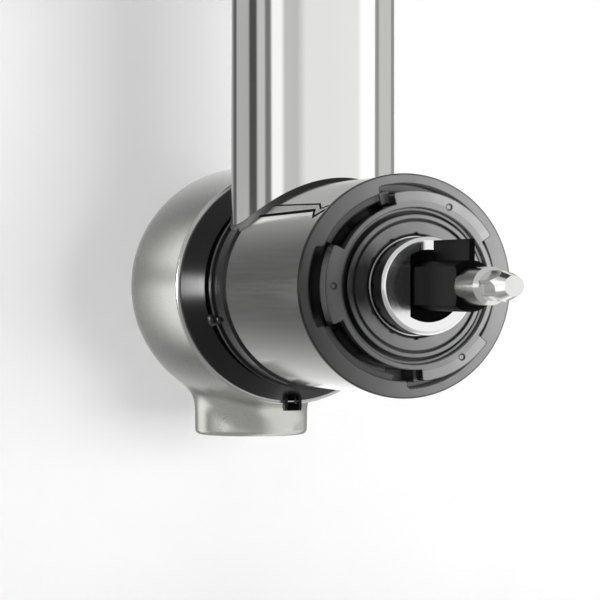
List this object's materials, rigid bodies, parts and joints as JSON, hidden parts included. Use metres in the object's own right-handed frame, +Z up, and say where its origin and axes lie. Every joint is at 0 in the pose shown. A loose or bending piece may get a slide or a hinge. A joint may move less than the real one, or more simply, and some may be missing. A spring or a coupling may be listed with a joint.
{
  "type": "cold press juicer head",
  "caption": "Juicing head of a cold press juicer: steel feed chute, drum with bayonet drive end, auger and strainer, and a satin juice housing with a spout.",
  "frame": {"origin": "middle of the straight outer wall of the drive stub, on the drum's axis", "axes": "+Y along the drum's axis from the drive end towards the juice housing, +Z up along the feed chute, +X to the right seen from the drive end"},
  "size_m": [0.1602, 0.3949, 0.2492],
  "materials": {
    "polished_steel": "mirror polish",
    "satin_steel": "satin",
    "satin_nickel": "brushed satin",
    "smoky_plastic": "glossy, smoky translucent",
    "black_gloss": "glossy",
    "black_matte": "matt",
    "black_rubber": "matt",
    "bush_bronze": "machined"
  },
  "bodies": {
    "drum": {"stub_tube": "polished_steel", "hub_gasket": "black_rubber", "hub_carrier": "smoky_plastic", "lug_ring": "smoky_plastic", "lug_screws": "satin_steel", "bayonet_flange": "smoky_plastic", "bearing_nose": "black_matte", "bore_segment": "polished_steel", "nose_bush": "bush_bronze", "rear_bearing": "satin_steel", "shaft_seal": "black_rubber", "chamber_seal": "black_rubber", "drum_body": "black_gloss", "drum_sleeve": "polished_steel", "lock_collar": "black_gloss", "lock_studs": "black_gloss", "spigot_ring": "black_rubber", "feed_chute": "polished_steel", "foot_gasket": "black_rubber", "strainer": "satin_steel", "basket": "black_matte", "catch_pin": "satin_steel"},
    "rotor": {"drive_shaft": "satin_steel", "shaft_circlip": "satin_steel", "auger": "black_matte"},
    "housing": {"housing_shell": "satin_nickel", "rim_bead": "polished_steel", "housing_liner": "black_matte", "spout_liner": "black_matte", "pulp_funnel": "black_matte", "pulp_nozzle": "black_matte", "tip_spider": "black_matte", "tip_bush": "bush_bronze", "shell_nut": "black_gloss"},
    "knob": {"pulp_knob": "black_gloss"},
    "catch": {"release_catch": "black_matte"},
    "tray": {"hopper_tray": "black_gloss"},
    "pusher": {"pusher": "black_matte", "pusher_cap": "black_gloss"}
  },
  "joints": [
    {"name": "auger_spin", "type": "hinge", "parent": "drum", "child": "rotor", "pos_m": [0, 0, 0], "axis": [0, 1, 0], "continuous": true},
    {"name": "housing_twist", "type": "hinge", "parent": "drum", "child": "housing", "pos_m": [0, 0.18, 0], "axis": [0, 1, 0], "range_deg": [0, 26]},
    {"name": "pulp_knob_turn", "type": "hinge", "parent": "housing", "child": "knob", "pos_m": [0, 0.295, 0], "axis": [0, 1, 0], "range_deg": [0, 90]},
    {"name": "catch_swing", "type": "hinge", "parent": "drum", "child": "catch", "pos_m": [0, 0.1659, -0.0552], "axis": [-1, 0, 0], "range_deg": [0, 15], "stiffness_Nm_per_rad": 0.05},
    {"name": "tray_lift", "type": "slide", "parent": "drum", "child": "tray", "axis": [0, 0, 1], "range_m": [0, 0.04]},
    {"name": "pusher_slide", "type": "slide", "parent": "tray", "child": "pusher", "axis": [0, 0, 1], "range_m": [0, 0.11]}
  ]
}
